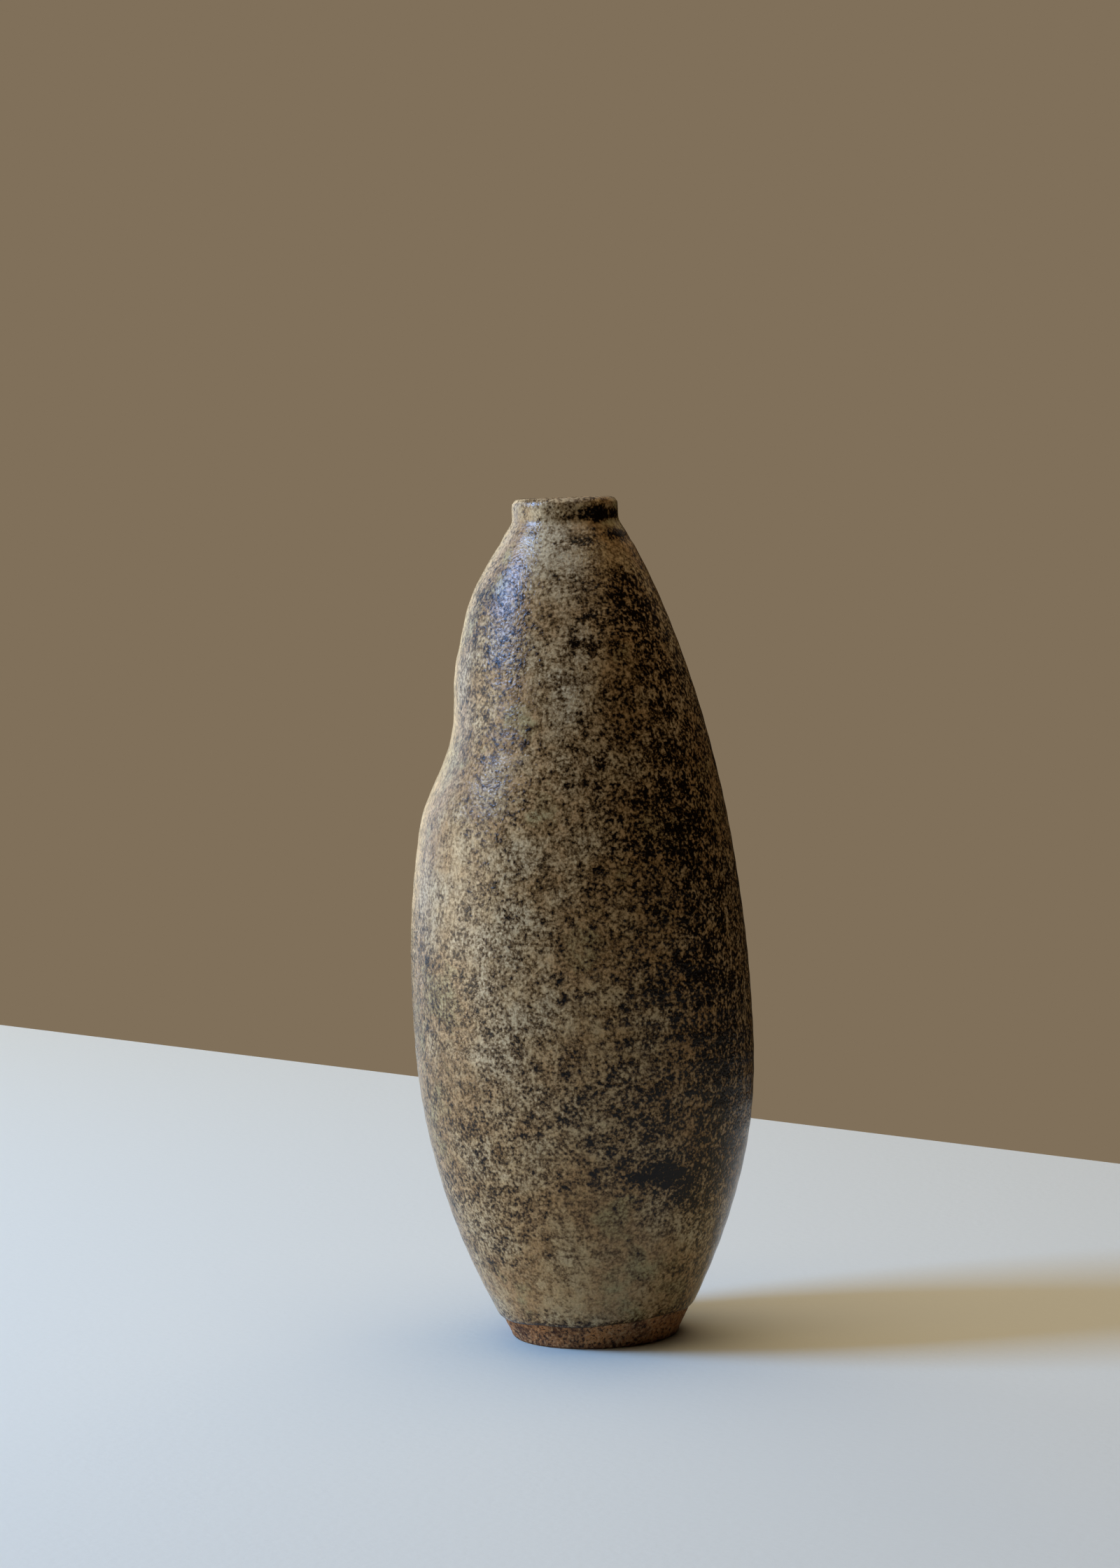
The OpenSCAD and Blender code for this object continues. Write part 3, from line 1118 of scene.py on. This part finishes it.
@dataclass
class ClayPot:
    """The thrown clay: a turned foot that shows, and a wall under the glazes."""

    form: ThrownForm
    sides: int = 360
    recess_rows: int = 26
    ring_rows: int = 8
    band_rows: int = 30
    wall_rows: int = 40
    bevel_rows: int = 8
    bevel_end: float = -0.35
    band_top: float = 8 * MM
    # The foot ring's worn corners, each as a step in or up from the sharp one.
    recess_round: tuple[float, float] = (0.15 * MM, 0.35 * MM)
    recess_lip: float = 0.12 * MM
    inner_round: float = 0.3 * MM
    outer_round: float = 0.25 * MM
    # Marks of the turning tool on the band, and of the trimming tool under the foot.
    turning_gap: float = 1.1 * MM
    turning_depth: float = 0.05 * MM
    turning_start: float = 0.4 * MM
    turning_fade: float = 1 * MM
    grog_depth: float = 0.05 * MM
    grog_size: float = 1.4 * MM
    swirl_gap: float = 1.9 * MM
    swirl_depth: float = 0.12 * MM
    swirl_fade: float = 1 * MM

    def build(self) -> bpy.types.Object:
        """Builds the clay as one closed skin.

        Returns:
            The new object.
        """
        form = self.form
        outline = Outline(form.outside())
        hollow = Outline(form.hollow())
        roof_r = form.recess_r - form.recess_draft
        inner_foot = form.recess_r + self.inner_round
        outer_foot = form.foot_r - form.foot_edge - self.outer_round
        roof = [
            (r, form.recess_d + self._swirl(r, roof_r))
            for r in np.linspace(0, roof_r, self.recess_rows)
        ]
        step_in, step_up = self.recess_round
        side = [(form.recess_r - step_in, step_up), (form.recess_r, self.recess_lip)]
        ring = [(r, 0.0) for r in np.linspace(inner_foot, outer_foot, self.ring_rows)]
        bevel_turn = np.linspace(-math.pi / 2, self.bevel_end, self.bevel_rows)
        bevel = [
            (form.foot_r - form.foot_edge * (1 - math.cos(t)), form.foot_edge * (1 + math.sin(t)))
            for t in bevel_turn
        ]
        top = outline.length_at_height(np.array([self.band_top]))[0]
        band = np.stack(outline.at(np.linspace(0, top, self.band_rows)), axis=1)
        wall = np.stack(outline.at(np.linspace(top, outline.length, self.wall_rows)[1:]), axis=1)
        inside = np.stack(hollow.at(np.linspace(hollow.length, 0, self.wall_rows)[1:]), axis=1)
        path = np.vstack([roof, side, ring, bevel, band, wall, inside])
        seen = len(roof) + len(side) + len(ring) + len(bevel) + len(band)
        angle = np.linspace(0, FULL_TURN, self.sides, endpoint=False)[None, :]
        r, z = path[:, :1] + 0 * angle, path[:, 1:] + 0 * angle
        smooth = form.fired(r, z, angle + 0 * r)
        above = ease((z - self.turning_start) / self.turning_fade)
        on_band = above * (z < self.band_top) * (r > outer_foot)
        turning = 0.5 + 0.5 * np.sin(FULL_TURN * (z / self.turning_gap + angle / FULL_TURN))
        rough = 0.5 + 0.5 * ripple(smooth, self.grog_size, seed=1.9)
        worn = on_band * (self.turning_depth * turning + self.grog_depth * rough)
        grid = form.fired(r - worn, z, angle + 0 * r)
        return LatheSkin("thrown_clay_pot", grid, Ends.POLES, seen, seen_share=0.8).build()

    def _swirl(self, r: float, roof_r: float) -> float:
        """Depth of the trimming tool's marks in the recess's roof, at radius r."""
        marks = 0.5 + 0.5 * math.cos(FULL_TURN * r / self.swirl_gap)
        return self.swirl_depth * marks * min(1.0, (roof_r - r) / self.swirl_fade)

    def dress(self, piece: bpy.types.Object) -> None:
        """Gives the clay its finish and its place in the frame.

        Args:
            piece: The object to dress.
        """
        piece.data.materials.append(BareStoneware().material())
        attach(piece, BODY)
        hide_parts("clay_body")


@dataclass
class LinerCoat:
    """The liner glaze, from the top of the straight bore down over the whole inside."""

    form: ThrownForm
    sides: int = 240
    rows: int = 220
    back_rows: int = 40
    # Finger rings in the wall, which fade out below the neck and before the floor's middle.
    ring_gap: float = 6.5 * MM
    ring_depth: float = 0.1 * MM
    neck_fade: float = 6 * MM
    plain_r: float = 2 * MM
    floor_fade: float = 4 * MM

    def build(self) -> bpy.types.Object:
        """Builds the liner as one closed skin.

        Returns:
            The new object.
        """
        form = self.form
        hollow = Outline(form.hollow())
        angle = np.linspace(0, FULL_TURN, self.sides, endpoint=False)[None, :]
        down = np.linspace(hollow.length, 0, self.rows)[:, None] + 0 * angle
        r, z = hollow.at(down, -form.liner)
        below = ease((form.neck_z - z) / self.neck_fade)
        beside = ease((r - self.plain_r) / self.floor_fade)
        wave = 0.5 + 0.5 * np.sin(FULL_TURN * (z / self.ring_gap - angle / FULL_TURN))
        thin = below * beside * self.ring_depth * wave
        r, z = hollow.at(down, -form.liner + thin)
        in_bore = down > hollow.length - form.mouth_len
        r = np.where(in_bore, form.mouth_r, r)
        z[0] = form.mouth_z
        r[-1] = 0
        z[-1] = form.floor_z + form.liner
        seen = form.fired(r, z, angle + 0 * r)
        up = np.linspace(0, hollow.length, self.back_rows)[:, None] + 0 * angle
        rb, zb = hollow.at(up)
        hidden = form.fired(rb, zb, angle + 0 * rb)
        grid = np.concatenate([hidden, seen])[::-1]
        return LatheSkin("liner_glaze_coat", grid, Ends.POLES, self.rows).build()

    def dress(self, piece: bpy.types.Object) -> None:
        """Gives the liner its glaze and its place in the frame.

        Args:
            piece: The object to dress.
        """
        piece.data.materials.append(PouredLiner().material())
        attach(piece, BODY)
        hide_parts("liner_glaze")


# ---- the room for the picture --------------------------------------------------


@dataclass
class TableCamera:
    """A long lens a little above the lip, three quarters of a metre back."""

    place: tuple[float, float, float] = (0.0, -0.760, 0.165)
    pitch: float = math.radians(4.466)
    yaw: float = math.radians(-0.282)
    roll: float = math.radians(1.69)
    lens: float = 92.07
    sensor: float = 36.0
    nearest: float = 0.01

    def build(self) -> bpy.types.Object:
        """Makes the camera and hands it to the scene.

        Returns:
            The camera.
        """
        ahead = Vector((math.sin(self.yaw), math.cos(self.yaw), -math.tan(self.pitch)))
        forward = ahead.normalized()
        right = forward.cross(Vector((0, 0, 1))).normalized()
        up = right.cross(forward)
        turned_right = right * math.cos(self.roll) - up * math.sin(self.roll)
        turned_up = right * math.sin(self.roll) + up * math.cos(self.roll)
        data = bpy.data.cameras.new("table_camera")
        data.lens = self.lens
        data.sensor_width = self.sensor
        data.clip_start = self.nearest
        camera = bpy.data.objects.new("table_camera", data)
        axes = Matrix((turned_right, turned_up, -forward)).transposed()
        camera.matrix_world = Matrix.Translation(Vector(self.place)) @ axes.to_4x4()
        bpy.context.scene.collection.objects.link(camera)
        bpy.context.scene.camera = camera
        return camera


@dataclass(frozen=True)
class SoftBox:
    """One soft light of the studio, aimed at the pot.

    Angles are in degrees, round from +X and up. Sizes are in metres and power in watts.
    """

    name: str
    azimuth: float
    elevation: float
    distance: float
    width: float
    height: float
    power: float
    colour: str

    def build(self, target: Vector) -> bpy.types.Object:
        """Makes the light, facing a target.

        Args:
            target: The point it faces.

        Returns:
            The light.
        """
        az, el = math.radians(self.azimuth), math.radians(self.elevation)
        way = Vector((math.cos(az) * math.cos(el), math.sin(az) * math.cos(el), math.sin(el)))
        data = bpy.data.lights.new(self.name, "AREA")
        data.shape = "RECTANGLE"
        data.size, data.size_y = self.width, self.height
        data.energy = self.power
        data.color = linear(self.colour)[:3]
        light = bpy.data.objects.new(self.name, data)
        light.location = target + way * self.distance
        light.rotation_euler = (-way).to_track_quat("-Z", "Y").to_euler()
        bpy.context.scene.collection.objects.link(light)
        return light


@dataclass
class Studio:
    """A pale floor, a plain dim surround and soft light from the left."""

    # The floor's turn, and how far it reaches behind, to the left, in front and to the right.
    floor_turn: float = math.radians(45.5)
    floor_reach: tuple[float, float, float, float] = (0.205, 0.75, 0.6, 0.6)
    backdrop: str = "#80705A"
    dimness: str = "#14110D"
    lights: tuple[SoftBox, ...] = (
        SoftBox("sky_window", 185, 37, 1.0, 0.32, 0.3, 14.5, "#86B8FF"),
        SoftBox("low_left", 184, 2, 1.2, 0.95, 0.38, 9.2, "#FFF0D8"),
        SoftBox("left_wall", 138, 14, 1.2, 0.75, 0.9, 3.7, "#C4DCFF"),
        SoftBox("back_left", 112, 15, 1.2, 0.5, 0.9, 2.3, "#FFF0D0"),
        SoftBox("overhead", 90, 88, 1.2, 1.2, 1.2, 10.2, "#FFEACC"),
        SoftBox("back_right", 78, 40, 1.3, 1.2, 1.2, 1.4, "#FFE8CC"),
    )

    def build(self) -> None:
        """Lays the floor, hangs the lights and sets the surround."""
        mesh = bpy.data.meshes.new("pale_floor")
        far, left, near, right = self.floor_reach
        corners = [(far, left, 0), (-near, left, 0), (-near, -right, 0), (far, -right, 0)]
        mesh.from_pydata(corners, [], [(0, 1, 2, 3)])
        floor = bpy.data.objects.new("pale_floor", mesh)
        floor.rotation_euler.z = self.floor_turn
        floor.data.materials.append(PaintedBoard().material())
        bpy.context.scene.collection.objects.link(floor)
        middle = Vector((0, 0, CAD_BOX[1][2] / 2))
        for light in self.lights:
            light.build(middle)
        self._surround()
        bpy.context.scene.view_settings.view_transform = "Standard"

    def _surround(self) -> None:
        """A plain mid-tone behind the pot, and a dimmer one for the light it sends back."""
        world = bpy.data.worlds.new("plain_surround")
        world.use_nodes = True
        tree = world.node_tree
        tree.nodes.clear()
        rays = add_node(tree, "ShaderNodeLightPath")
        seen = add_node(tree, "ShaderNodeBackground", None, {"Color": linear(self.backdrop)})
        sent = add_node(tree, "ShaderNodeBackground", None, {"Color": linear(self.dimness)})
        both = add_node(
            tree,
            "ShaderNodeMixShader",
            None,
            {0: rays.outputs["Is Camera Ray"], 1: sent.outputs[0], 2: seen.outputs[0]},
        )
        add_node(tree, "ShaderNodeOutputWorld", None, {"Surface": both.outputs[0]})
        bpy.context.scene.world = world


def main() -> None:
    """Builds the camera, the pot's three coats from the clay out, and the studio."""
    logging.basicConfig(level=logging.INFO)
    TableCamera().build()
    form = ThrownForm()
    for coat in (ClayPot(form), LinerCoat(form), OuterGlazeCoat(form)):
        piece = coat.build()
        coat.dress(piece)
        LOG.info("%s: %d faces", piece.name, len(piece.data.polygons))
    Studio().build()


if __name__ == "__main__":
    main()
